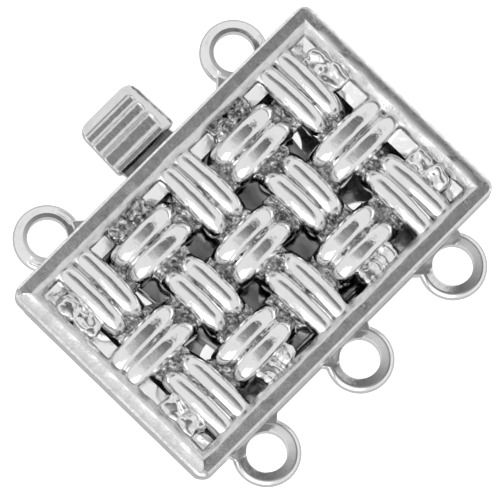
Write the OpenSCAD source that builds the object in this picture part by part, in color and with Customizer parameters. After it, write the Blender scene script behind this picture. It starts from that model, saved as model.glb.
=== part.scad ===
// Three-strand box clasp with a cast basket-weave top, closed and lying on its back.
// Millimetres. X runs along the clasp, +Y points to the tongue side, +Z out of the woven face.

/* [Cast top] */
// Length of the cast top over its border
top_len = 26.4; // [26.2:0.1:26.8]
// Width of the cast top over its border
top_wid = 16.9; // [16.7:0.1:17.2]
// Thickness of the border
top_thick = 1.5; // [1.3:0.1:1.7]
// Width of the flat border
border_wid = 1.4; // [1.35:0.05:1.5]
// Bevel along the outer top edge
border_bevel = 0.32; // [0.2:0.02:0.4]
// Radius of the plan corners
corner_r = 0.8; // [0.6:0.1:1.2]

/* [Weave] */
// Crossings along the clasp
weave_cols = 5; // [5]
// Crossings across the clasp
weave_rows = 3; // [3]
// Radius of one rounded bar
bar_r = 0.72; // [0.70:0.01:0.74]
// Spacing of the two bars in a pair
bar_pitch = 1.52; // [1.50:0.01:1.60]
// Radius of the arch that a bar follows
arch_r = 3.1; // [3.0:0.1:3.3]
// Half angle that a bar covers on its arch
arch_half = 50; // [48:1:52]
// Width of the strand web beneath each pair
web_wid = 2.9; // [2.8:0.05:3.1]
// Thickness of the strand web
web_thick = 0.6; // [0.5:0.1:0.8]
// Radius of the rounded strand ends that show at the border
stub_r = 0.62; // [0.55:0.01:0.65]
// Room left between the border and the crossings at each short side
end_room = 0.55; // [0.5:0.05:0.6]
// Room left between the border and the crossings at each long side
side_room = 0.28; // [0.25:0.01:0.3]

/* [Case] */
// Height of the whole clasp
clasp_high = 5.0; // [4.8:0.1:5.2]
// Sheet thickness of the case walls and back
sheet = 0.5; // [0.45:0.05:0.5]
// How far the case stands in under the cast top
case_inset = 0.5; // [0.45:0.05:0.55]
// Radius of the round windows in the back
window_r = 1.7; // [1.4:0.1:1.8]
// Window centres from the middle, along the clasp
window_x = 6.05; // [5.6:0.05:6.4]
// Window centres from the middle, across the clasp
window_y = 3.75; // [3.6:0.05:3.9]

/* [Rings] */
// Spacing of the three rings
ring_pitch = 8.4; // [8.2:0.1:8.6]
// Radius of a ring's hole
ring_hole_r = 1.3; // [1.2:0.05:1.35]
// Thickness of the rings, and width of their band
ring_wire = 0.9; // [0.8:0.05:0.9]
// Distance of the case's ring centres beyond the cast top
ring_reach = 1.13; // [1.1:0.01:1.2]
// Distance of the tongue's ring centres beyond the cast top
tongue_reach = 1.23; // [1.2:0.01:1.3]
// Width of the strip that carries the rings
strip_wid = 0.36; // [0.3:0.02:0.4]

/* [Tongue] */
// Width of the tongue at the mouth of the case
tongue_mouth = 14.7; // [14.5:0.1:14.8]
// Width of the tongue at its fold
tongue_inner = 11.2; // [11:0.1:11.6]
// Thickness of the folded strip
leaf_thick = 0.45; // [0.4:0.05:0.45]
// Inside radius of the fold
fold_r = 0.25; // [0.2:0.05:0.25]
// Slope of the spring leaf at rest, degrees
leaf_slope = 2.1; // [2.0:0.1:2.3]
// Width of the neck that leaves the case
neck_wid = 4.0; // [3.8:0.1:4.1]
// Clearance around the tongue in its slot
slot_gap = 0.1; // [0.08:0.01:0.12]

/* [Thumb tab] */
// Width of the thumb tab at its outer end
tab_outer = 4.5; // [4.4:0.1:4.6]
// Width of the thumb tab beside the case
tab_inner = 4.9; // [4.8:0.05:5.0]
// Reach of the thumb tab beyond the cast top
tab_reach = 4.5; // [4.4:0.05:4.6]
// Gap between the thumb tab and the cast top
tab_gap = 0.35; // [0.3:0.05:0.4]
// Height of the thumb tab above the leaf
tab_high = 1.1; // [1.0:0.05:1.1]
// Width of the smooth outer band that slopes off
band_wid = 0.75; // [0.7:0.05:0.85]
// Drop of the smooth outer band
band_drop = 0.4; // [0.3:0.05:0.5]
// Radius of the thumb tab's outer corners
tab_round = 0.7; // [0.6:0.1:0.9]
// Number of grip grooves across the thumb tab
groove_count = 3; // [2:1:3]
// Spacing of the grip grooves
groove_pitch = 0.86; // [0.84:0.01:0.88]
// Radius of a grip groove
groove_r = 0.48; // [0.44:0.02:0.5]
// Depth of a grip groove
groove_deep = 0.18; // [0.14:0.02:0.18]
// Length of a grip groove between the smooth side rims
groove_len = 3.5; // [3.3:0.1:3.6]
// Sideways offset of the thumb tab
tab_shift = -0.3; // [-0.4:0.05:0]

/* [Hidden] */
$fn = 48;

metal = [0.80, 0.80, 0.79];
dark_metal = [0.66, 0.66, 0.65];

inner_len = top_len - 2 * border_wid;
inner_wid = top_wid - 2 * border_wid;
cell_x = (inner_len - 2 * end_room) / weave_cols;
cell_y = (inner_wid - 2 * side_room) / weave_rows;
cell_gap = bar_pitch / 2 + bar_r - 0.1;
web_low = clasp_high - top_thick;
web_top = web_low + web_thick;
arch_z = clasp_high - bar_r - arch_r;

case_len = top_len - 2 * case_inset;
case_wid = top_wid - 2 * case_inset;
case_high = clasp_high - top_thick;
wall_in_x = case_len / 2 - sheet;
wall_in_y = case_wid / 2 - sheet;
case_r = 0.6;

ring_mid_r = ring_hole_r + ring_wire / 2;
ring_out_r = ring_hole_r + ring_wire;
ring_y = top_wid / 2 + ring_reach;
ring_z = ring_wire / 2;
bore_len = ring_wire - 0.05;

leaf_low = sheet + slot_gap;
leaf_middle_z = leaf_low + leaf_thick / 2;
tongue_ring_y = top_wid / 2 + tongue_reach;
fold_out_r = fold_r + leaf_thick;
fold_z = leaf_low + fold_out_r;
fold_room = 0.35;
fold_y = -wall_in_y + fold_out_r + fold_room;
leaf_end_y = wall_in_y - slot_gap;
leaf_len = leaf_end_y - fold_y;
seam_gap = 0.06;
slot_top = fold_z + fold_out_r + seam_gap;
slot_wid = tongue_mouth + 2 * slot_gap;
notch_wid = neck_wid + 4 * slot_gap;
notch_rise = 0.75;
notch_top = slot_top + notch_rise;

tab_in_y = top_wid / 2 + tab_gap;
tab_out_y = top_wid / 2 + tab_reach;
tab_len = tab_out_y - tab_in_y;
tab_edge = 0.3;
groove_first = 1.24;
groove_shift = -0.15;

neck_flare = 0.55;
neck_thick = 0.8 * ring_wire;
neck_low_half = 0.93 * ring_out_r;
neck_high_half = 0.86 * ring_out_r;
neck_rise = 0.45;

// Centre of one crossing of the weave
function cell_at(c, r) = [
    (c - (weave_cols - 1) / 2) * cell_x,
    (r - (weave_rows - 1) / 2) * cell_y,
    0
];

// The origin is the middle of the whole clasp, rings and thumb tab included
mid_y = (ring_y + ring_out_r - tab_out_y) / 2;

// Flat rectangle with rounded corners
module round_rect(len, wid, r) {
    square([len - 2 * r, wid], center = true);
    square([len, wid - 2 * r], center = true);
    for (sx = [-1, 1], sy = [-1, 1])
        translate([sx * (len / 2 - r), sy * (wid / 2 - r)])
            circle(r);
}

// Solid block of the border with its bevelled outer top edge
module bevelled_block() {
    straight = top_thick - border_bevel;
    linear_extrude(straight)
        round_rect(top_len, top_wid, corner_r);
    translate([0, (top_wid / 2 - corner_r), straight])
        rotate([90, 0, 0])
            linear_extrude(top_wid - 2 * corner_r)
                bevel_profile(top_len);
    translate([-(top_len / 2 - corner_r), 0, straight])
        rotate([90, 0, 90])
            linear_extrude(top_len - 2 * corner_r)
                bevel_profile(top_wid);
    for (sx = [-1, 1], sy = [-1, 1])
        translate([sx * (top_len / 2 - corner_r), sy * (top_wid / 2 - corner_r), straight])
            cylinder(h = border_bevel, r1 = corner_r, r2 = corner_r - border_bevel);
}

// Cross-section of the bevelled upper part over a given width
module bevel_profile(wid) {
    polygon([
        [-wid / 2, 0],
        [wid / 2, 0],
        [wid / 2 - border_bevel, border_bevel],
        [-wid / 2 + border_bevel, border_bevel]
    ]);
}

// Strand webs that cross beneath the bars and leave the pierced gaps
module strand_webs() {
    translate([0, 0, web_low]) {
        for (c = [0 : weave_cols - 1])
            translate([cell_at(c, 0).x, 0, web_thick / 2])
                cube([web_wid, inner_wid + 0.4, web_thick], center = true);
        for (r = [0 : weave_rows - 1])
            translate([0, cell_at(0, r).y, web_thick / 2])
                cube([inner_len + 0.4, web_wid, web_thick], center = true);
    }
}

// One rounded bar, arched over the strand beneath it and running along Y
module arched_bar() {
    translate([0, 0, arch_z])
        rotate([0, -90, 0])
            rotate([0, 0, -arch_half])
                rotate_extrude(angle = 2 * arch_half)
                    translate([arch_r, 0])
                        circle(bar_r);
}

// Two bars side by side
module bar_pair() {
    for (side = [-1, 1])
        translate([side * bar_pitch / 2, 0, 0])
            arched_bar();
}

// Every pair of bars, turned alternately along and across the clasp
module weave_bars() {
    for (c = [0 : weave_cols - 1], r = [0 : weave_rows - 1])
        translate(cell_at(c, r))
            rotate([0, 0, (c + r) % 2 == 0 ? 0 : 90])
                bar_pair();
}

// Two strand ends side by side, running along Y out of the border towards the first bars
module stub_pair(to_border) {
    for (side = [-1, 1])
        translate([side * bar_pitch / 2, to_border + 0.2, web_top - 0.1])
            rotate([90, 0, 0])
                cylinder(h = to_border - cell_gap, r = stub_r);
}

// Ends of the strands that pass under their first crossing, all round the border
module strand_ends() {
    last_x = cell_at(weave_cols - 1, 0).x;
    last_y = cell_at(0, weave_rows - 1).y;
    for (c = [1 : 2 : weave_cols - 2], turn = [0, 180])
        translate([cell_at(c, 0).x, 0, 0])
            rotate([0, 0, turn])
                translate([0, last_y, 0])
                    stub_pair(inner_wid / 2 - last_y);
    for (r = [0 : 2 : weave_rows - 1], turn = [90, -90])
        translate([0, cell_at(0, r).y, 0])
            rotate([0, 0, turn])
                translate([0, last_x, 0])
                    stub_pair(inner_len / 2 - last_x);
}

// Cast top: bevelled border and pierced basket weave in one casting
module woven_top() {
    color(metal)
        translate([0, mid_y, 0])
            difference() {
                union() {
                    translate([0, 0, web_low])
                        difference() {
                            bevelled_block();
                            translate([0, 0, top_thick / 2])
                                cube([inner_len, inner_wid, top_thick + 1], center = true);
                        }
                    strand_webs();
                    strand_ends();
                    weave_bars();
                }
                translate([0, 0, web_low - 2])
                    cube([top_len, top_wid, 4], center = true);
            }
}

// Row of three rings on their strip, level with z = 0 and reaching towards +Y from wall_y
module ring_strip(wall_y, centre_y) {
    difference() {
        union() {
            for (i = [-1 : 1])
                translate([i * ring_pitch, centre_y, 0])
                    rotate_extrude()
                        ring_profile();
            translate([-ring_pitch, wall_y, -ring_wire / 2])
                cube([2 * ring_pitch, strip_wid, ring_wire]);
            for (i = [-1 : 1])
                translate([i * ring_pitch, 0, -neck_thick / 2])
                    linear_extrude(neck_thick)
                        neck_plan(wall_y, i);
        }
        for (i = [-1 : 1])
            translate([i * ring_pitch, centre_y, -ring_wire])
                cylinder(h = 2 * ring_wire, r = ring_hole_r);
        translate([-top_len, wall_y - 4, -ring_wire])
            cube([2 * top_len, 4, 2 * ring_wire]);
    }
}

// Section of a ring: flat faces, round outside, straight wall at the hole
module ring_profile() {
    translate([ring_mid_r, 0])
        circle(ring_wire / 2);
    translate([ring_hole_r, -bore_len / 2])
        square([ring_wire / 2, bore_len]);
}

// Flare that joins a ring to the strip, wider on the side of its neighbours
module neck_plan(wall_y, i) {
    left = i < 0 ? 0 : neck_flare;
    right = i > 0 ? 0 : neck_flare;
    strip_y = wall_y + strip_wid;
    polygon([
        [-neck_low_half - left, wall_y],
        [neck_low_half + right, wall_y],
        [neck_low_half + right, strip_y],
        [neck_high_half, strip_y + neck_rise],
        [-neck_high_half, strip_y + neck_rise],
        [-neck_low_half - left, strip_y]
    ]);
}

// Sheet case with its soldered ring strip, slot and back windows
module case_box() {
    color(dark_metal)
        translate([0, mid_y, 0]) {
            difference() {
                union() {
                    difference() {
                        linear_extrude(case_high)
                            round_rect(case_len, case_wid, case_r);
                        translate([-wall_in_x, -wall_in_y, sheet])
                            cube([2 * wall_in_x, 2 * wall_in_y, case_high]);
                    }
                    mirror([0, 1, 0])
                        translate([0, 0, ring_z])
                            ring_strip(case_wid / 2 - 0.05, ring_y);
                }
                translate([-slot_wid / 2, wall_in_y - 0.01, sheet])
                    cube([slot_wid, sheet + 1, slot_top - sheet]);
                translate([-notch_wid / 2 + tab_shift, wall_in_y - 0.01, sheet])
                    cube([notch_wid, sheet + 1, notch_top - sheet]);
                for (sx = [-1, 1], sy = [-1, 1])
                    translate([sx * window_x, sy * window_y, -1])
                        cylinder(h = sheet + 2, r = window_r);
            }
        }
}

// Plan of a tongue leaf, tapered towards the fold
module leaf_plan(end_y) {
    polygon([
        [-tongue_inner / 2, fold_y],
        [tongue_inner / 2, fold_y],
        [tongue_mouth / 2, end_y],
        [-tongue_mouth / 2, end_y]
    ]);
}

// Lower leaf of the tongue with its fold and its own ring strip
module tongue() {
    outer_wall = case_wid / 2 + 0.05;
    color(metal)
        translate([0, mid_y, 0]) {
            translate([0, 0, leaf_low])
                linear_extrude(leaf_thick)
                    leaf_plan(leaf_end_y);
            translate([-tongue_mouth / 2, leaf_end_y - 0.01, leaf_low])
                cube([tongue_mouth, outer_wall + strip_wid - leaf_end_y, leaf_thick]);
            intersection() {
                translate([-tongue_inner / 2, fold_y, fold_z])
                    rotate([0, 90, 0])
                        difference() {
                            cylinder(h = tongue_inner, r = fold_out_r);
                            translate([0, 0, -1])
                                cylinder(h = tongue_inner + 2, r = fold_r);
                        }
                translate([-tongue_inner, fold_y - 2, 0])
                    cube([2 * tongue_inner, 2, clasp_high]);
            }
            translate([0, 0, leaf_middle_z])
                ring_strip(outer_wall, tongue_ring_y);
        }
}

// Placement of the leaf's own frame: origin on the fold axis, turned by the rest slope
module at_leaf() {
    translate([0, mid_y + fold_y, fold_z])
        rotate([leaf_slope, 0, 0])
            translate([0, 0, fold_r])
                children();
}

// Upper leaf that springs from the fold, with catch shoulders and the thumb neck
module spring_leaf() {
    neck_end = tab_out_y - fold_y - 0.5;
    color(dark_metal)
        at_leaf()
            linear_extrude(leaf_thick)
                union() {
                    polygon([
                        [-tongue_inner / 2, seam_gap],
                        [tongue_inner / 2, seam_gap],
                        [tongue_mouth / 2, leaf_len],
                        [-tongue_mouth / 2, leaf_len]
                    ]);
                    translate([tab_shift - neck_wid / 2, leaf_len - 0.5])
                        square([neck_wid, neck_end - leaf_len + 0.5]);
                }
}

// Side profile of the thumb tab, eased at both ends
module tab_profile() {
    polygon([
        [0, 0],
        [tab_len, 0],
        [tab_len, tab_high - band_drop - tab_edge / 2],
        [tab_len - tab_edge / 2, tab_high - band_drop],
        [tab_len - band_wid, tab_high],
        [tab_edge, tab_high],
        [0, 0.75 * tab_high]
    ]);
}

// Round grooves across the thumb tab, closed at both sides
module grip_grooves() {
    for (i = [0 : groove_count - 1])
        translate([
            groove_shift - groove_len / 2,
            groove_first + i * groove_pitch,
            tab_high + groove_r - groove_deep
        ])
            rotate([0, 90, 0])
                cylinder(h = groove_len, r = groove_r);
}

// Cast thumb tab, grooved across and rounded at its corners
module thumb_tab() {
    color(metal)
        at_leaf()
            translate([tab_shift, tab_in_y - fold_y, leaf_thick])
                difference() {
                    intersection() {
                        translate([-tab_inner, 0, 0])
                            rotate([90, 0, 90])
                                linear_extrude(2 * tab_inner)
                                    tab_profile();
                        translate([0, 0, -1])
                            linear_extrude(tab_high + 2)
                                tab_plan();
                    }
                    grip_grooves();
                }
}

// Plan of the thumb tab, narrower and round at the corners outside
module tab_plan() {
    polygon([
        [-tab_inner / 2, 0],
        [tab_inner / 2, 0],
        [tab_outer / 2, tab_len - tab_round],
        [-tab_outer / 2, tab_len - tab_round]
    ]);
    for (side = [-1, 1])
        translate([side * (tab_outer / 2 - tab_round), tab_len - tab_round])
            circle(tab_round);
    translate([-tab_outer / 2 + tab_round, tab_len / 2])
        square([tab_outer - 2 * tab_round, tab_len / 2]);
}

woven_top();
case_box();
tongue();
spring_leaf();
thumb_tab();
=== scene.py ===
import math

import bmesh
import bpy
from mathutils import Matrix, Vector


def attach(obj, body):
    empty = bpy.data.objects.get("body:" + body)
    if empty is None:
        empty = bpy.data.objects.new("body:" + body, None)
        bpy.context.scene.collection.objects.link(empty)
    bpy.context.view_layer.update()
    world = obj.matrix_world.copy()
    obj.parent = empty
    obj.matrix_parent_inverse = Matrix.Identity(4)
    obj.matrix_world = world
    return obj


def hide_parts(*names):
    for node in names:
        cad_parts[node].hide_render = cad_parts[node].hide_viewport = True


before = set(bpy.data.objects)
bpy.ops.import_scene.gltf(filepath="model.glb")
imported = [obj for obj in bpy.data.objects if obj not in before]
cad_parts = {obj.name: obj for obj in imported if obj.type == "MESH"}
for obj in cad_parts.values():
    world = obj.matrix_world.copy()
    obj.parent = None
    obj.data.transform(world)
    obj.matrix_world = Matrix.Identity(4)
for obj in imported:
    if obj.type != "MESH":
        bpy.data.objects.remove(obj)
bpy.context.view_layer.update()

# The clasp lies on its back on a white sweep and is seen almost straight down, through a long
# lens. Its measures are in millimetres; MM turns them into the frame's metres.
MM = 0.001
MIDDLE_Y = -0.585  # the cast top's centre stands this far from the origin
TOP_Z = 5.0

camera_right = Vector((0.69656, -0.71553, 0.05312))
camera_up = Vector((0.69601, 0.69182, 0.19225))
camera_back = camera_right.cross(camera_up).normalized()
PICTURE_WIDTH = 31.25  # 500 pixels at 16 to the millimetre
SENSOR_WIDTH = 36.0
LENS = 900.0
SHIFT_RIGHT, SHIFT_UP = 0.28, 0.642  # the weave's middle stands this far off the picture's
camera_distance = PICTURE_WIDTH * LENS / SENSOR_WIDTH
weave_middle = Vector((0, MIDDLE_Y, TOP_Z))
picture_centre = weave_middle - SHIFT_RIGHT * camera_right - SHIFT_UP * camera_up

bpy.ops.object.select_all(action="DESELECT")
bpy.ops.object.camera_add(location=(picture_centre + camera_distance * camera_back) * MM)
camera = bpy.context.object
camera.rotation_mode = "QUATERNION"
turn = camera.matrix_world.to_3x3()
turn.col[0], turn.col[1], turn.col[2] = camera_right, camera_up, camera_back
camera.rotation_quaternion = turn.to_quaternion()
camera.data.lens = LENS
camera.data.sensor_width = SENSOR_WIDTH
camera.data.clip_start = 0.05
camera.data.clip_end = 5.0
bpy.context.scene.camera = camera
bpy.context.scene.view_settings.view_transform = "Standard"


# One node of a material or of the world: its kind, what goes into its sockets, its settings.
def add_node(tree, kind, sockets=None, **settings):
    made = tree.nodes.new("ShaderNode" + kind)
    for key, value in settings.items():
        setattr(made, key, value)
    for key, value in (sockets or {}).items():
        if isinstance(value, bpy.types.NodeSocket):
            tree.links.new(value, made.inputs[key])
        else:
            made.inputs[key].default_value = value
    return made


# Sets the stops of a colour ramp from pairs of place and sRGB hex colour.
def colour_stops(ramp, stops):
    while len(ramp.elements) < len(stops):
        ramp.elements.new(0.5)
    for element, (place, hex_colour) in zip(ramp.elements, stops):
        element.position = place
        element.color = linear(hex_colour)


# sRGB hex to linear RGBA.
def linear(hex_colour):
    parts = [int(hex_colour[i : i + 2], 16) / 255 for i in (0, 2, 4)]
    return (*[p / 12.92 if p <= 0.04045 else ((p + 0.055) / 1.055) ** 2.4 for p in parts], 1.0)


world = bpy.data.worlds.new("white tent")
world.use_nodes = True
world.node_tree.nodes["Background"].inputs["Color"].default_value = linear("f6f6f6")
world.node_tree.nodes["Background"].inputs["Strength"].default_value = 0.98
bpy.context.scene.world = world

# The sweep is white paper lit until it blows out, as under a product shot.
bpy.ops.mesh.primitive_plane_add(size=2.4, location=(0, 0, -0.0002))
sweep = bpy.context.object
sweep.name = "paper_sweep"
paper = bpy.data.materials.new("white paper sweep")
paper.use_nodes = True
paper_shader = paper.node_tree.nodes["Principled BSDF"]
paper_shader.inputs["Base Color"].default_value = linear("f2f2f2")
paper_shader.inputs["Roughness"].default_value = 0.9
paper_shader.inputs["Emission Color"].default_value = linear("ffffff")
paper_shader.inputs["Emission Strength"].default_value = 0.75
sweep.data.materials.append(paper)


# A studio card or softbox: only its reflection shows. A level one hangs flat over the clasp or
# lies under it, and any other is turned to face it. A fade is a list of places across the card
# and their colours, and soft_ends is the colour that both its ends brighten to.
def studio_card(name, centre, wide, deep, strength, fade, level=True, soft_ends="000000"):
    bpy.ops.mesh.primitive_plane_add(size=1, location=Vector(centre) * MM)
    card = bpy.context.object
    card.name = name
    card.scale = (wide * MM, deep * MM, 1)
    if not level:
        card.rotation_mode = "QUATERNION"
        card.rotation_quaternion = (-Vector(centre)).to_track_quat("-Z", "Y")
    glow = bpy.data.materials.new(name + " face")
    glow.use_nodes = True
    tree = glow.node_tree
    tree.nodes.clear()
    place = add_node(tree, "TexCoord").outputs["Object"]
    split = add_node(tree, "SeparateXYZ", {"Vector": place})
    across, along = (
        add_node(
            tree,
            "MapRange",
            {"Value": split.outputs[axis], "From Min": -0.5, "From Max": 0.5},
        )
        for axis in ("X", "Y")
    )
    shade = add_node(tree, "ValToRGB", {"Fac": across.outputs["Result"]})
    colour_stops(shade.color_ramp, fade)
    ends = add_node(tree, "ValToRGB", {"Fac": along.outputs["Result"]})
    colour_stops(
        ends.color_ramp, ((0, soft_ends), (0.22, "000000"), (0.78, "000000"), (1, soft_ends))
    )
    both = add_node(
        tree,
        "Mix",
        {6: shade.outputs["Color"], 7: ends.outputs["Color"], "Factor": 1.0},
        data_type="RGBA",
        blend_type="LIGHTEN",
    )
    lit = add_node(tree, "Emission", {"Color": both.outputs[2], "Strength": strength})
    add_node(tree, "OutputMaterial", {"Surface": lit.outputs[0]})
    card.data.materials.append(glow)
    card.visible_camera = False
    card.visible_diffuse = False
    card.visible_shadow = False


# The long grey ceiling panel over the clasp fades towards the window side, a bright box stands
# low at the foot of the picture, and a pale card lies under the clasp.
PANEL_FADE = ((0.0, "dcdcdc"), (0.25, "b0b0b0"), (0.5, "909090"), (0.8, "6c6c6c"), (1.0, "585858"))
studio_card(
    "ceiling_panel",
    centre=(36, 19, 200),
    wide=150,
    deep=460,
    strength=1.0,
    fade=PANEL_FADE,
    soft_ends="f0f0f0",
)
studio_card(
    "foot_softbox",
    centre=(-175, -90, 110),
    wide=210,
    deep=170,
    strength=2.2,
    fade=((0.0, "ffffff"), (1.0, "ffffff")),
    level=False,
)
studio_card(
    "base_card",
    centre=(0, 0, -0.1),
    wide=90,
    deep=90,
    strength=1.0,
    fade=((0.0, "cccccc"), (1.0, "cccccc")),
)


# The cast top's border: one bright-plated casting, its outer edge rounded over by polishing,
# its face left with the fine pits of the mould and its left end dubbed off a little.
TOP_SIZE = Vector((26.4, 16.9, 1.5))
BORDER = 1.52
CORNER = 0.8
EDGE_ROUND = 0.38
LIP, LIP_DEEP, LIP_MARGIN = 0.66, 0.8, 0.05
RIM = 0.3  # the top face's outer and inner edges are told apart this far from the inner one
LEFT_BAND, LEFT_DEEP, LEFT_DROP = 0.45, 0.6, 0.28
LEDGE_Z = 4.0
LEDGE_ENDS, LEDGE_TONGUE = 1.0, 0.84
STEEP, LEVEL = 0.25, 0.9  # how far up the normals of a sloping face point, at least and at most
CLOSE = 0.01  # a point this near to a plane counts as on it


# Opens one object for editing with nothing selected in its mesh.
def open_edit(piece):
    if bpy.context.object and bpy.context.object.mode != "OBJECT":
        bpy.ops.object.mode_set(mode="OBJECT")
    bpy.ops.object.select_all(action="DESELECT")
    piece.select_set(True)
    bpy.context.view_layer.objects.active = piece
    bpy.ops.object.mode_set(mode="EDIT")
    bpy.ops.mesh.select_all(action="DESELECT")


def close_edit():
    bpy.ops.object.mode_set(mode="OBJECT")


# Selects the faces, edges or points of the mesh in edit mode that pass a test.
def choose(piece, kind, test):
    bpy.ops.mesh.select_mode(type={"verts": "VERT", "edges": "EDGE", "faces": "FACE"}[kind])
    bpy.ops.mesh.select_all(action="DESELECT")
    mesh = bmesh.from_edit_mesh(piece.data)
    for part in getattr(mesh, kind):
        if test(part):
            part.select = True
    mesh.select_flush_mode()
    bmesh.update_edit_mesh(piece.data)


# Adds one modifier and applies it.
def modify(piece, kind, **settings):
    if piece.mode != "OBJECT":
        close_edit()
    bpy.ops.object.select_all(action="DESELECT")
    piece.select_set(True)
    bpy.context.view_layer.objects.active = piece
    made = piece.modifiers.new(kind.lower(), kind)
    for key, value in settings.items():
        setattr(made, key, value)
    bpy.ops.object.modifier_apply(modifier=made.name)


# A block of given size and centre, its size written into its mesh.
def start_block(name, centre, size):
    bpy.ops.object.select_all(action="DESELECT")
    bpy.ops.mesh.primitive_cube_add(size=1, location=Vector(centre) * MM, scale=Vector(size) * MM)
    block = bpy.context.object
    block.name = block.data.name = name
    bpy.ops.object.transform_apply(location=True, rotation=True, scale=True)
    return block


# Bright white plating over a polished base. The polish leaves a slight waviness that bends the
# reflections; pits and dull spots come from the casting underneath. Lengths are in millimetres,
# `spots` is how dark the stains are, and a higher `stained` spreads them further.
def bright_plating(
    name, tone, rough, wave_mm, wave_depth, pit_depth, pit_mm, spots, stain_mm=1.1, stained=0.3
):
    plating = bpy.data.materials.new(name)
    plating.use_nodes = True
    tree = plating.node_tree
    shader = tree.nodes["Principled BSDF"]
    shader.inputs["Metallic"].default_value = 1.0
    place = add_node(tree, "TexCoord").outputs["Object"]
    wave = add_node(
        tree,
        "TexNoise",
        {"Vector": place, "Scale": 1 / (wave_mm * MM), "Detail": 1.5, "Roughness": 0.4},
    )
    wavy = add_node(
        tree,
        "Bump",
        {"Height": wave.outputs["Fac"], "Strength": 1.0, "Distance": wave_depth * MM},
    )
    last_normal = wavy.outputs["Normal"]
    grain = add_node(
        tree,
        "TexNoise",
        {"Vector": place, "Scale": 1 / (pit_mm * MM), "Detail": 3.0, "Roughness": 0.6},
    )
    if pit_depth:
        holes = add_node(
            tree,
            "MapRange",
            {"Value": grain.outputs["Fac"], "From Min": 0.30, "From Max": 0.52},
        )
        pitted = add_node(
            tree,
            "Bump",
            {
                "Height": holes.outputs["Result"],
                "Strength": 1.0,
                "Distance": pit_depth * MM,
                "Normal": last_normal,
            },
        )
        last_normal = pitted.outputs["Normal"]
    dull = add_node(
        tree,
        "MapRange",
        {
            "Value": grain.outputs["Fac"],
            "From Min": 0.35,
            "From Max": 0.65,
            "To Min": rough * 1.35,
            "To Max": rough * 0.8,
        },
    )
    stain = add_node(
        tree,
        "TexNoise",
        {"Vector": place, "Scale": 1 / (stain_mm * MM), "Detail": 4.0, "Roughness": 0.65},
    )
    tint = add_node(tree, "ValToRGB", {"Fac": stain.outputs["Fac"]})
    tint.color_ramp.elements[0].position = stained
    tint.color_ramp.elements[1].position = stained + 0.25
    dark = [c * (1 - spots) for c in linear(tone)[:3]]
    tint.color_ramp.elements[0].color = (*dark, 1)
    tint.color_ramp.elements[1].color = linear(tone)
    tree.links.new(tint.outputs["Color"], shader.inputs["Base Color"])
    tree.links.new(dull.outputs["Result"], shader.inputs["Roughness"])
    tree.links.new(last_normal, shader.inputs["Normal"])
    return plating


# Gives a finished piece its material and smooth shading, attaches it to its body and hides the CAD
# node it replaces.
def fit_piece(piece, material, body, node, sharp=35):
    if piece.mode != "OBJECT":
        close_edit()
    bpy.ops.object.select_all(action="DESELECT")
    piece.select_set(True)
    bpy.context.view_layer.objects.active = piece
    bpy.ops.object.transform_apply(location=True, rotation=True, scale=True)
    piece.data.materials.clear()
    piece.data.materials.append(material)
    bpy.ops.object.shade_smooth_by_angle(angle=math.radians(sharp))
    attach(piece, body)
    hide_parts(node)


border = start_block("cast_border", (0, MIDDLE_Y, TOP_Z - TOP_SIZE.z / 2), TOP_SIZE)
open_edit(border)
choose(border, "faces", lambda f: abs(f.normal.z) > 0.9)
bpy.ops.mesh.inset(thickness=BORDER * MM)
bpy.ops.mesh.bridge_edge_loops()
half_x, half_y = TOP_SIZE.x / 2 * MM, TOP_SIZE.y / 2 * MM


# Whether a point lies less than this many millimetres inside the border's outer edge.
def near_outside(point, inset):
    return abs(point.x) > half_x - inset * MM or abs(point.y - MIDDLE_Y * MM) > half_y - inset * MM


# Whether an edge is more than a millimetre high.
def upright(edge):
    return abs(edge.verts[0].co.z - edge.verts[1].co.z) > MM


# Whether an edge bounds the top's level face.
def on_rim(edge):
    level = all(v.co.z > (TOP_Z - CLOSE) * MM for v in edge.verts)
    return level and any(abs(f.normal.z) < 0.5 for f in edge.link_faces)


choose(border, "edges", lambda e: upright(e) and all(near_outside(v.co, CLOSE) for v in e.verts))
bpy.ops.mesh.bevel(offset=CORNER * MM, segments=6, affect="EDGES")
choose(
    border,
    "edges",
    lambda e: on_rim(e) and all(near_outside(v.co, BORDER - RIM) for v in e.verts),
)
bpy.ops.mesh.bevel(offset=EDGE_ROUND * MM, segments=3, affect="EDGES", profile=0.55)
choose(
    border,
    "edges",
    lambda e: on_rim(e) and not any(near_outside(v.co, BORDER - RIM) for v in e.verts),
)
bpy.ops.mesh.bevel(offset=LIP * MM, segments=6, affect="EDGES", profile=0.36)
# The lip round the weave was filed by hand, so it runs in slight waves.
WAVE_STEP, WAVE_INSET = 0.4, 1.7
for axis, half in ((0, TOP_SIZE.x / 2 - WAVE_INSET), (1, TOP_SIZE.y / 2 - WAVE_INSET)):
    steps = int(2 * half / WAVE_STEP)
    for i in range(steps + 1):
        place, across_axis = Vector((0, MIDDLE_Y * MM, 0)), Vector((0, 0, 0))
        place[axis] += (-half + 2 * half * i / steps) * MM
        across_axis[axis] = 1
        bpy.ops.mesh.select_all(action="SELECT")
        bpy.ops.mesh.bisect(plane_co=place, plane_no=across_axis)
# The left end's face slopes off towards its outer edge.
choose(
    border,
    "verts",
    lambda v: v.co.x < -half_x + LEFT_BAND * MM and v.co.z > (TOP_Z - LEFT_DEEP) * MM,
)
bpy.ops.transform.translate(value=(0, 0, -LEFT_DROP * MM))
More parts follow.
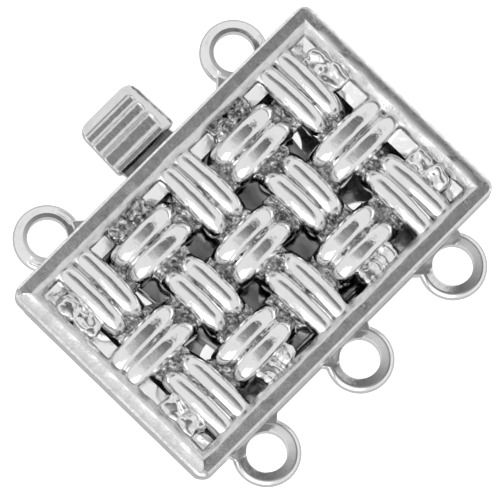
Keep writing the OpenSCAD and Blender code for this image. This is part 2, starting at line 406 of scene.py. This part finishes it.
# Inside, the mould's draft leaves a sloping ledge at both ends and on the tongue's side.
bpy.ops.mesh.select_all(action="SELECT")
bpy.ops.mesh.bisect(plane_co=(0, 0, LEDGE_Z * MM), plane_no=(0, 0, 1))
inner_x, inner_y = half_x - BORDER * MM, half_y - BORDER * MM
underside = (TOP_Z - TOP_SIZE.z + CLOSE) * MM
choose(
    border,
    "verts",
    lambda v: v.co.z < underside and not near_outside(v.co, BORDER - CLOSE),
)
far_side = (0, MIDDLE_Y * MM - inner_y, 0)
draft = (1 - LEDGE_ENDS * MM / inner_x, 1 - LEDGE_TONGUE * MM / (2 * inner_y), 1)
bpy.ops.transform.resize(value=draft, center_override=far_side)
close_edit()
lip_points = [
    v.index
    for v in border.data.vertices
    if v.co.z > (TOP_Z - LIP_DEEP) * MM and not near_outside(v.co, BORDER - LIP - LIP_MARGIN)
]
border.vertex_groups.new(name="lip").add(lip_points, 1.0, "REPLACE")
waves = bpy.data.textures.new("filed waves", "CLOUDS")
waves.noise_scale = 0.9 * MM
waves.noise_depth = 1
modify(
    border,
    "DISPLACE",
    texture=waves,
    texture_coords="GLOBAL",
    strength=0.22 * MM,
    mid_level=0.6,
    vertex_group="lip",
)
face_plating = bright_plating(
    "cast face plating",
    "dddddd",
    rough=0.16,
    wave_mm=2.2,
    wave_depth=0.02,
    pit_depth=0.0055,
    pit_mm=0.12,
    spots=0.14,
    stain_mm=0.6,
)
fit_piece(border, face_plating, "case", "woven_top", 30)
# The sloping ledge takes a lighter copy of the face plating, f4f4f4 against dddddd: a painted
# highlight that makes it shine white through the openings.
ledge_highlight_plating = bright_plating(
    "ledge plating with painted highlight",
    "f4f4f4",
    rough=0.16,
    wave_mm=0.9,
    wave_depth=0.08,
    pit_depth=0.002,
    pit_mm=0.2,
    spots=0.03,
)
border.data.materials.append(ledge_highlight_plating)
# sloping faces below the ledge's height take the lighter copy, the painted highlight
for face in border.data.polygons:
    if STEEP < face.normal.z < LEVEL and face.center.z < LEDGE_Z * MM:
        face.material_index = 1

# The strand webs: where one strand dives under another the casting was never polished, so it
# stays a rough, bumpy skin pierced through at every crossing's corner.
COLUMNS, ROWS = 5, 3
PITCH_X, PITCH_Y = 4.5, 4.51
WEB_WIDE = 2.7
WEB_OUTER = 0.95  # from the last strand's middle to the web's edge, right and tongue side
WEB_TOP = 3.7
WEB_LOW = 3.3
WEB_OVERLAP = 0.6  # the skin is this much larger than the opening, to run in under the border
web_size = Vector((TOP_SIZE.x - 2 * BORDER + WEB_OVERLAP, TOP_SIZE.y - 2 * BORDER + WEB_OVERLAP))

bpy.ops.object.select_all(action="DESELECT")
bpy.ops.mesh.primitive_plane_add(size=1, location=(0, MIDDLE_Y * MM, WEB_TOP * MM))
webs = bpy.context.object
webs.name = webs.data.name = "rough_webs"
webs.scale = (web_size.x * MM, web_size.y * MM, 1)
bpy.ops.object.transform_apply(location=True, rotation=True, scale=True)
column_x = [(c - (COLUMNS - 1) / 2) * PITCH_X for c in range(COLUMNS)]
row_y = [(r - (ROWS - 1) / 2) * PITCH_Y + MIDDLE_Y for r in range(ROWS)]


# Where the web of one strand starts and ends across its run.
def web_edges(line, last_line):
    return line - WEB_WIDE / 2, line + (WEB_OUTER if line == last_line else WEB_WIDE / 2)


open_edit(webs)
for lines, across_run in ((column_x, Vector((1, 0, 0))), (row_y, Vector((0, 1, 0)))):
    for line in lines:
        for edge in web_edges(line, lines[-1]):
            bpy.ops.mesh.select_all(action="SELECT")
            bpy.ops.mesh.bisect(plane_co=across_run * edge * MM, plane_no=across_run)


# Whether a place lies beside every web that runs this way.
def between_strands(place, lines):
    spans = [web_edges(line, lines[-1]) for line in lines]
    return not any(start < place / MM < end for start, end in spans)


choose(
    webs,
    "faces",
    lambda f: between_strands(f.calc_center_median().x, column_x)
    and between_strands(f.calc_center_median().y, row_y),
)
bpy.ops.mesh.delete(type="FACE")
bpy.ops.mesh.select_all(action="SELECT")
bpy.ops.mesh.subdivide(number_cuts=2)
close_edit()
modify(webs, "SOLIDIFY", thickness=(WEB_TOP - WEB_LOW) * MM, offset=-1)
modify(webs, "SUBSURF", levels=3, render_levels=3)


# Joins loose pieces into the one given.
def join_into(piece, others):
    bpy.ops.object.select_all(action="DESELECT")
    for other in others:
        other.select_set(True)
    piece.select_set(True)
    bpy.context.view_layer.objects.active = piece
    bpy.ops.object.join()


# A rounded lump, its three half lengths in millimetres.
def lump(centre, halves):
    bpy.ops.object.select_all(action="DESELECT")
    bpy.ops.mesh.primitive_uv_sphere_add(
        segments=40, ring_count=24, radius=MM, location=Vector(centre) * MM, scale=halves
    )
    bpy.ops.object.transform_apply(location=True, rotation=True, scale=True)
    return bpy.context.object


# The groove between the two bars of a pair is filled with the same rough skin.
FILL_WIDE, FILL_LONG, FILL_HIGH = 0.4, 1.6, 0.56  # half lengths
FILL_Z = 4.0
fills = []
for c, x in enumerate(column_x):
    for r, y in enumerate(row_y):
        across = (c + r) % 2 == 0
        level_halves = (FILL_WIDE, FILL_LONG) if across else (FILL_LONG, FILL_WIDE)
        fills.append(lump((x, y, FILL_Z), (*level_halves, FILL_HIGH)))
join_into(webs, fills)
lumps = bpy.data.textures.new("mould lumps", "CLOUDS")
lumps.noise_scale = 0.6 * MM
lumps.noise_depth = 1
modify(webs, "DISPLACE", texture=lumps, texture_coords="GLOBAL", strength=0.3 * MM, mid_level=0.5)
creases = bpy.data.textures.new("crumpled skin", "VORONOI")
creases.noise_scale = 0.52 * MM
creases.weight_1, creases.weight_2 = -1, 1
# the skin flowed aslant over the mould, so its creases are drawn out that way
FLOW_TURN, FLOW_STRETCH = math.radians(100), 2.4
bpy.ops.object.select_all(action="DESELECT")
bpy.ops.object.empty_add(rotation=(0, 0, FLOW_TURN))
flow = bpy.context.object
flow.scale = (FLOW_STRETCH, 1, 1)
bpy.context.view_layer.update()
modify(
    webs,
    "DISPLACE",
    texture=creases,
    texture_coords="OBJECT",
    texture_coords_object=flow,
    strength=-0.65 * MM,
    mid_level=0.2,
)
bpy.data.objects.remove(flow)
rough_plating = bright_plating(
    "as-cast plating",
    "d8d8d8",
    rough=0.06,
    wave_mm=0.35,
    wave_depth=0.06,
    pit_depth=0.006,
    pit_mm=0.15,
    spots=0.85,
    stain_mm=0.4,
    stained=0.38,
)
fit_piece(webs, rough_plating, "case", "woven_top", 40)

# Strand ends slope down in pairs from the border and dive under their first crossing. The mould
# left them crumpled, and they took the plating as cast.
END_WIDE = 1.5
END_PITCH = 1.42
END_ROUND = 0.3
END_HIGH = 0.8
END_Z = 4.0
END_LONG = {"across": 1.5, "along": 1.15}
END_OUT = {"across": 2.03, "along": 1.95}
END_SLOPE = {"across": math.radians(17), "along": math.radians(24)}


# One strand end: a rounded pad that rises towards the border.
def strand_end(x, y, way, kind):
    long = END_LONG[kind]
    level_size = (long, END_WIDE) if kind == "across" else (END_WIDE, long)
    pad = start_block("strand_end", (x, y, END_Z), (*level_size, END_HIGH))
    open_edit(pad)
    bpy.ops.mesh.select_all(action="SELECT")
    bpy.ops.mesh.bevel(offset=END_ROUND * MM, segments=3, affect="EDGES")
    bpy.ops.mesh.select_all(action="SELECT")
    bpy.ops.transform.rotate(
        value=way * END_SLOPE[kind] * (1 if kind == "across" else -1),
        orient_axis="Y" if kind == "across" else "X",
        center_override=Vector((x, y, END_Z)) * MM,
    )
    close_edit()
    return pad


# Those on the tongue's side stayed finely crumpled, and the others ran smoother in the mould.
ends = {"melted": [], "crumpled": []}
for c, x in enumerate(column_x):
    for r, y in enumerate(row_y):
        kind = "across" if (c + r) % 2 == 0 else "along"
        number, last = (c, COLUMNS - 1) if kind == "across" else (r, ROWS - 1)
        for way in (-1, 1):
            if number != (0 if way < 0 else last):
                continue
            group = ends["crumpled" if kind == "along" and way > 0 else "melted"]
            for side in (-1, 1):
                along, beside = way * END_OUT[kind], side * END_PITCH / 2
                if kind == "across":
                    group.append(strand_end(x + along, y + beside, way, kind))
                else:
                    group.append(strand_end(x + beside, y + along, way, kind))
melt = bpy.data.textures.new("melted lumps", "CLOUDS")
melt.noise_scale = 0.7 * MM
melt.noise_depth = 0
crumple = bpy.data.textures.new("crumpled ends", "VORONOI")
crumple.weight_1, crumple.weight_2 = -1, 1
end_plating = bright_plating(
    "strand end plating",
    "eeeeee",
    rough=0.1,
    wave_mm=0.5,
    wave_depth=0.03,
    pit_depth=0.002,
    pit_mm=0.15,
    spots=0.3,
    stain_mm=0.4,
)
for group, fold_mm, rounds, plating in (
    ("melted", 1.3, 6, end_plating),
    ("crumpled", 0.6, 2, rough_plating),
):
    pads = ends[group].pop()
    pads.name = pads.data.name = "strand_ends_" + group
    join_into(pads, ends[group])
    modify(pads, "REMESH", mode="VOXEL", voxel_size=0.06 * MM)
    crumple.noise_scale = fold_mm * MM
    for texture, strength_mm, middle in ((melt, 0.4, 0.5), (crumple, -0.5, 0.3)):
        modify(
            pads,
            "DISPLACE",
            texture=texture,
            texture_coords="GLOBAL",
            strength=strength_mm * MM,
            mid_level=middle,
        )
    modify(pads, "SMOOTH", factor=0.5, iterations=rounds)
    fit_piece(pads, plating, "case", "woven_top", 180)

# The woven bars: each crossing shows a pair of rounded bars that arch over the strand below,
# cast in one with the border and polished bright on their crowns.
BAR_R = 0.79
CROWN_R, CROWN_HALF = 4.2, math.radians(16)
END_R, END_TURN = 1.35, math.radians(56)
PAIR_PITCH = {"along": 1.42, "across": 1.46}
EDGE_SHIFT, EDGE_STRETCH = 0.4, 1.2
SWAY_DEGREES, STRAY = 1.6, 0.03


# Carries the selected end of a bar on round one arc over the X axis.
def bend_on(y, z, turn, steps):
    bpy.ops.mesh.spin(steps=steps, angle=turn, center=(0, y * MM, z * MM), axis=(1, 0, 0))


# One arched bar over the origin, running along Y: a flat crown that turns down at both ends.
def arched_bar(name):
    crown_z = TOP_Z - BAR_R - CROWN_R
    bpy.ops.object.select_all(action="DESELECT")
    bpy.ops.mesh.primitive_circle_add(
        vertices=28,
        radius=BAR_R * MM,
        location=(0, 0, (crown_z + CROWN_R) * MM),
        rotation=(math.pi / 2, 0, 0),
    )
    bar = bpy.context.object
    bar.name = bar.data.name = name
    bpy.ops.object.transform_apply(location=True, rotation=True, scale=True)
    open_edit(bar)
    bpy.ops.mesh.select_all(action="SELECT")
    bend_on(0, crown_z, CROWN_HALF, 10)
    reach = CROWN_R - END_R
    bend_on(reach * math.sin(CROWN_HALF), crown_z + reach * math.cos(CROWN_HALF), END_TURN, 14)
    bpy.ops.mesh.edge_face_add()
    bpy.ops.mesh.select_all(action="SELECT")
    bpy.ops.mesh.duplicate()
    bpy.ops.transform.rotate(value=math.pi, orient_axis="Z", center_override=(0, 0, 0))
    bpy.ops.mesh.select_all(action="SELECT")
    bpy.ops.mesh.remove_doubles(threshold=0.001 * MM)
    bpy.ops.mesh.normals_make_consistent(inside=False)
    close_edit()
    return bar


master = arched_bar("woven_bar")
bars = []
for c in range(COLUMNS):
    for r in range(ROWS):
        across = (c + r) % 2 == 0
        for side in (-1, 1):
            bpy.ops.object.select_all(action="DESELECT")
            master.select_set(True)
            bpy.context.view_layer.objects.active = master
            bpy.ops.object.duplicate(linked=False)
            bar = bpy.context.object
            number = len(bars)
            # hand-dressed moulds: no two bars lie quite alike
            sway = math.radians(SWAY_DEGREES * math.sin(2.3 * number + 0.4))
            offset = side * PAIR_PITCH["across" if across else "along"] / 2
            offset += STRAY * math.sin(1.7 * number)
            number_along, last = (r, ROWS - 1) if across else (c, COLUMNS - 1)
            outward = {0: -EDGE_SHIFT, last: EDGE_SHIFT}.get(number_along, 0)
            bar.scale = (1, EDGE_STRETCH if outward else 1, 1)
            if across:
                bar.rotation_euler = (0, 0, sway)
                bar.location = ((column_x[c] + offset) * MM, (row_y[r] + outward) * MM, 0)
            else:
                bar.rotation_euler = (0, 0, math.pi / 2 + sway)
                bar.location = ((column_x[c] + outward) * MM, (row_y[r] + offset) * MM, 0)
            bpy.ops.object.transform_apply(location=True, rotation=True, scale=True)
            bars.append(bar)
weave = bars[0]
join_into(weave, bars[1:])
weave.name = weave.data.name = "woven_bars"
bpy.data.objects.remove(master)
swell = bpy.data.textures.new("polishing swell", "CLOUDS")
swell.noise_scale = 1.3 * MM
modify(weave, "DISPLACE", texture=swell, texture_coords="GLOBAL", strength=0.07 * MM, mid_level=0.5)
bar_plating = bright_plating(
    "polished bar plating",
    "ececec",
    rough=0.09,
    wave_mm=0.9,
    wave_depth=0.02,
    pit_depth=0.004,
    pit_mm=0.2,
    spots=0.05,
)
fit_piece(weave, bar_plating, "case", "woven_top", 50)

# The case: a shallow box folded from plated sheet under the cast top, slotted for the tongue
# on one long side and pierced with four round windows in its back.
CASE_SIZE = Vector((25.4, 15.9, 3.5))
SHEET = 0.5
CASE_CORNER, CASE_EDGE = 0.6, 0.12
WINDOW_R = 1.7
WINDOW_AT = Vector((6.05, 3.75))
SLOT_WIDE, SLOT_TOP = 14.9, 2.06
NOTCH_WIDE, NOTCH_LOW, NOTCH_TOP, NOTCH_AT = 4.4, 1.0, 2.81, -0.3

case = start_block("case_shell", (0, MIDDLE_Y, CASE_SIZE.z / 2), CASE_SIZE)
open_edit(case)
choose(case, "edges", upright)
bpy.ops.mesh.bevel(offset=CASE_CORNER * MM, segments=5, affect="EDGES")
choose(case, "faces", lambda f: f.normal.z > 0.9)
bpy.ops.mesh.delete(type="FACE")
choose(
    case,
    "edges",
    lambda e: all(v.co.z < CLOSE * MM for v in e.verts)
    and any(abs(f.normal.z) < 0.5 for f in e.link_faces),
)
bpy.ops.mesh.bevel(offset=CASE_EDGE * MM, segments=2, affect="EDGES")
close_edit()
modify(case, "SOLIDIFY", thickness=SHEET * MM, offset=-1)


# Cuts a hole with another mesh, which is used up.
def cut_out(piece, cutter):
    modify(piece, "BOOLEAN", object=cutter, operation="DIFFERENCE", solver="EXACT")
    bpy.data.objects.remove(cutter)


# A cylinder that stands upright unless turned, its measures in millimetres.
def cylinder(centre, radius, long, corners, turned=(0, 0, 0)):
    bpy.ops.object.select_all(action="DESELECT")
    bpy.ops.mesh.primitive_cylinder_add(
        vertices=corners,
        radius=radius * MM,
        depth=long * MM,
        location=[measure * MM for measure in centre],
        rotation=turned,
    )
    bpy.ops.object.transform_apply(location=True, rotation=True, scale=True)
    return bpy.context.object


wall_y = MIDDLE_Y + CASE_SIZE.y / 2
for name, at, wide, low, high in (
    ("slot", 0, SLOT_WIDE, SHEET, SLOT_TOP),
    ("notch", NOTCH_AT, NOTCH_WIDE, NOTCH_LOW, NOTCH_TOP),
):
    centre = (at, wall_y - SHEET / 2, (low + high) / 2)
    cut_out(case, start_block(name, centre, (wide, SHEET * 3, high - low)))
for sx in (-1, 1):
    for sy in (-1, 1):
        window_at = (sx * WINDOW_AT.x, MIDDLE_Y + sy * WINDOW_AT.y, 0)
        cut_out(case, cylinder(window_at, WINDOW_R, 4 * SHEET, 48))
sheet_plating = bright_plating(
    "sheet plating",
    "dadada",
    rough=0.16,
    wave_mm=1.6,
    wave_depth=0.06,
    pit_depth=0.003,
    pit_mm=0.3,
    spots=0.1,
)
fit_piece(case, sheet_plating, "case", "case_box", 30)

# The two rows of stringing rings: each is one small casting, three flat rings on a strip with
# flared necks, soldered along its side and tumbled until its outer edges are round.
RING_PITCH = 8.4
RING_HOLE = 1.3
RING_OUT = 2.2
RING_WIRE = 0.9
RING_ROUND = 0.42
CUTTER_LONG = 4  # goes through a ring from above and below
CASE_RING_Y, CASE_RING_Z = 9.58, 0.45
TONGUE_RING_Y, TONGUE_RING_Z = 9.68, 0.825
STRIP_WIDE, STRIP_HIGH = 0.36, RING_WIRE - 0.1
STRIP_PAST = 1.0  # the strip is this much longer than from the first ring's hole to the last's
STRIP_SUNK, STRIP_OFF = 0.02, 0.06  # into the case's wall, and clear of it on the tongue's side
NECK_HIGH = RING_WIRE * 0.92
CASE_NECK = (3.5, 0.84, 1.3, 0.35)
TONGUE_NECK = (3.9, 1.3, 1.2, 1.0)
FACE_LEAN = 0.3  # rise of the worn face per millimetre towards or away from the hole
FACE_ON = 0.2  # the slope is carried on past the hole's edge, so that smoothing can't level it


# A row of rings on the side of the clasp that `way` points to, its strip starting at `wall`. A
# positive lean raises the faces towards the holes and a negative one dishes them. A neck is given
# by its width at the ring, its length, how far it widens to the wall, and how far the outer rings'
# necks lean towards the middle.
def ring_row(name, way, wall, ring_y, ring_z, lean, neck_size):
    neck_wide, neck_long, neck_flare, neck_in = neck_size
    grown = start_block(
        name,
        (0, MIDDLE_Y + way * (wall + STRIP_WIDE / 2), ring_z),
        (2 * RING_PITCH + STRIP_PAST, STRIP_WIDE, STRIP_HIGH),
    )
    parts = [grown]
    face_wide = RING_OUT - RING_ROUND - RING_HOLE + FACE_ON
    sink = max(lean, 0) * face_wide
    for i in (-1, 0, 1):
        centre = (i * RING_PITCH, MIDDLE_Y + way * ring_y, ring_z - sink / 2)
        ring = cylinder(centre, RING_OUT, RING_WIRE - sink, 72)
        open_edit(ring)
        choose(ring, "edges", lambda e: abs(e.verts[0].co.z - e.verts[1].co.z) < CLOSE * MM)
        bpy.ops.mesh.bevel(offset=RING_ROUND * MM, segments=6, affect="EDGES")
        choose(ring, "faces", lambda f: f.normal.z > 0.99)
        bpy.ops.mesh.inset(thickness=face_wide * MM)
        bpy.ops.transform.translate(value=(0, 0, lean * face_wide * MM))
        close_edit()
        parts.append(ring)
        neck = start_block(
            "neck",
            (i * RING_PITCH, MIDDLE_Y + way * (wall + neck_long / 2), ring_z),
            (neck_wide, neck_long, NECK_HIGH),
        )
        open_edit(neck)
        choose(neck, "faces", lambda f: f.normal.y * way < -0.9)
        bpy.ops.transform.resize(value=(neck_flare, 1, 1))
        bpy.ops.transform.translate(value=(-neck_in * i * MM, 0, 0))
        close_edit()
        parts.append(neck)
    join_into(grown, parts[1:])
    modify(grown, "REMESH", mode="VOXEL", voxel_size=0.05 * MM)
    modify(grown, "SMOOTH", factor=0.5, iterations=4)
    for i in (-1, 0, 1):
        hole_at = (i * RING_PITCH, MIDDLE_Y + way * ring_y, 0)
        cut_out(grown, cylinder(hole_at, RING_HOLE, CUTTER_LONG, 64))
    return grown


ring_plating = bright_plating(
    "tumbled ring plating",
    "eeeeee",
    rough=0.14,
    wave_mm=1.6,
    wave_depth=0.02,
    pit_depth=0.0015,
    pit_mm=0.3,
    spots=0.06,
)
case_rings = ring_row(
    "case_ring_row",
    way=-1,
    wall=CASE_SIZE.y / 2 - STRIP_SUNK,
    ring_y=CASE_RING_Y,
    ring_z=CASE_RING_Z,
    lean=-FACE_LEAN,
    neck_size=CASE_NECK,
)
fit_piece(case_rings, ring_plating, "case", "case_box", 40)
tongue_rings = ring_row(
    "tongue_ring_row",
    way=1,
    wall=CASE_SIZE.y / 2 + STRIP_OFF,
    ring_y=TONGUE_RING_Y,
    ring_z=TONGUE_RING_Z,
    lean=FACE_LEAN,
    neck_size=TONGUE_NECK,
)
fit_piece(tongue_rings, ring_plating, "tongue", "tongue", 40)

# The tongue: spring sheet folded back on itself. Its lower leaf slides on the case's back and
# ends outside in the ring row; the fold lies at the far wall.
LEAF_THICK = 0.45
LEAF_LOW = 0.6
FOLD_R = 0.25
FOLD_Y = -6.4
FOLD_Z = 1.3
MOUTH_WIDE, INNER_WIDE = 14.7, 11.2
MOUTH_Y = 7.35
LEAF_END = 8.1

lower = start_block(
    "tongue_leaf",
    (0, MIDDLE_Y + (FOLD_Y + MOUTH_Y) / 2, LEAF_LOW + LEAF_THICK / 2),
    (MOUTH_WIDE, MOUTH_Y - FOLD_Y, LEAF_THICK),
)
open_edit(lower)
choose(lower, "faces", lambda f: f.normal.y < -0.9)
bpy.ops.transform.resize(value=(INNER_WIDE / MOUTH_WIDE, 1, 1))
bpy.ops.mesh.spin(
    steps=12,
    angle=-math.pi,
    center=(0, (MIDDLE_Y + FOLD_Y) * MM, FOLD_Z * MM),
    axis=(-1, 0, 0),
)
choose(
    lower,
    "faces",
    lambda f: f.normal.y > 0.9 and f.calc_center_median().z < (LEAF_LOW + LEAF_THICK) * MM,
)
outwards = (0, (LEAF_END - MOUTH_Y) * MM, 0)
bpy.ops.mesh.extrude_region_move(TRANSFORM_OT_translate={"value": outwards})
bpy.ops.mesh.select_all(action="SELECT")
bpy.ops.mesh.remove_doubles(threshold=0.001 * MM)
bpy.ops.mesh.normals_make_consistent(inside=False)
close_edit()
modify(lower, "BEVEL", width=0.04 * MM, segments=2, limit_method="ANGLE")
# Its tone b0b0b0, darker than the cast platings, is partly the spring steel's own grey and partly
# painted shade for the leaf's floors seen through the openings and for the gap at the thumb tab.
spring_plating_with_painted_shade = bright_plating(
    "spring sheet plating with painted shade",
    "b0b0b0",
    rough=0.12,
    wave_mm=1.9,
    wave_depth=0.25,
    pit_depth=0.002,
    pit_mm=0.3,
    spots=0.15,
)
fit_piece(lower, spring_plating_with_painted_shade, "tongue", "tongue", 30)

# The spring leaf springs up from the fold; its shoulders stand behind the slot's lip and its
# neck carries the thumb tab. Cut from the same sheet, so the frame's own shape is right.
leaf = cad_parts["spring_leaf"]
# the same partly darkened plating, here painted shade on the neck seen in the gap beside the thumb
# tab
leaf.data.materials.clear()
leaf.data.materials.append(spring_plating_with_painted_shade)

# The thumb tab: a small casting riveted flat on the neck, grooved across for the thumbnail. Its
# outer band slopes off smooth, and all its edges are polished round.
TAB_INNER, TAB_OUTER = 4.9, 4.6
TAB_IN_Y, TAB_OUT_Y = 9.0, 12.95
TAB_HIGH = 1.1
TAB_AT = -0.28
LEAF_SLOPE = math.radians(2.1)
TAB_CORNER = 0.75
BAND_WIDE, BAND_DROP = 0.8, 0.4
SIDE_WIDE, SIDE_DROP = 0.8, 0.24
HEEL_WIDE, HEEL_DROP = 0.5, 0.31
HEEL_CORNER = 0.3
# each groove's distance from the outer end, its radius and its depth
GROOVES = ((0.98, 0.42, 0.15), (1.73, 0.6, 0.2), (2.82, 0.85, 0.3))
GROOVE_LONG = 4.5
GROOVE_AT = -0.53
GROOVE_ROUND = 0.15

tab_low = FOLD_Z + FOLD_R + LEAF_THICK
tab_top = tab_low + TAB_HIGH
tab = start_block(
    "thumb_piece",
    (TAB_AT, MIDDLE_Y + (TAB_IN_Y + TAB_OUT_Y) / 2, tab_low + TAB_HIGH / 2),
    (TAB_INNER, TAB_OUT_Y - TAB_IN_Y, TAB_HIGH),
)
open_edit(tab)
choose(tab, "faces", lambda f: f.normal.y > 0.9)
bpy.ops.transform.resize(value=(TAB_OUTER / TAB_INNER, 1, 1))
choose(
    tab,
    "edges",
    lambda e: upright(e) and all(v.co.y > (MIDDLE_Y + TAB_OUT_Y - CLOSE) * MM for v in e.verts),
)
bpy.ops.mesh.bevel(offset=TAB_CORNER * MM, segments=8, affect="EDGES")
choose(
    tab,
    "edges",
    lambda e: upright(e) and all(v.co.y < (MIDDLE_Y + TAB_IN_Y + CLOSE) * MM for v in e.verts),
)
bpy.ops.mesh.bevel(offset=HEEL_CORNER * MM, segments=5, affect="EDGES")
# The outer band, the heel beside the case and the right side slope off from the top.
for corner, slope in (
    ((0, MIDDLE_Y + TAB_OUT_Y - BAND_WIDE, tab_top), (0, BAND_DROP, BAND_WIDE)),
    ((0, MIDDLE_Y + TAB_IN_Y + HEEL_WIDE, tab_top), (0, -HEEL_DROP, HEEL_WIDE)),
    ((TAB_AT + TAB_OUTER / 2 - SIDE_WIDE, 0, tab_top), (SIDE_DROP, 0, SIDE_WIDE)),
):
    bpy.ops.mesh.select_all(action="SELECT")
    bpy.ops.mesh.bisect(
        plane_co=Vector(corner) * MM,
        plane_no=slope,
        use_fill=True,
        clear_outer=True,
    )
close_edit()
modify(tab, "REMESH", mode="VOXEL", voxel_size=0.05 * MM)
modify(tab, "SMOOTH", factor=0.5, iterations=24)
for from_end, radius, deep in GROOVES:
    centre = (TAB_AT + GROOVE_AT, MIDDLE_Y + TAB_OUT_Y - from_end, tab_top + radius - deep)
    groove = cylinder(centre, radius, GROOVE_LONG, 48, turned=(0, math.pi / 2, 0))
    modify(groove, "BEVEL", width=GROOVE_ROUND * MM, segments=3, limit_method="ANGLE")
    cut_out(tab, groove)
modify(tab, "REMESH", mode="VOXEL", voxel_size=0.04 * MM)
modify(tab, "SMOOTH", factor=0.5, iterations=6)
open_edit(tab)
bpy.ops.mesh.select_all(action="SELECT")
hinge = (0, (MIDDLE_Y + FOLD_Y) * MM, FOLD_Z * MM)
bpy.ops.transform.rotate(value=-LEAF_SLOPE, orient_axis="X", center_override=hinge)
close_edit()
tab_plating = bright_plating(
    "polished tab plating",
    "e2e2e2",
    rough=0.12,
    wave_mm=1.6,
    wave_depth=0.012,
    pit_depth=0.006,
    pit_mm=0.25,
    spots=0.08,
)
fit_piece(tab, tab_plating, "leaf", "thumb_tab", 60)
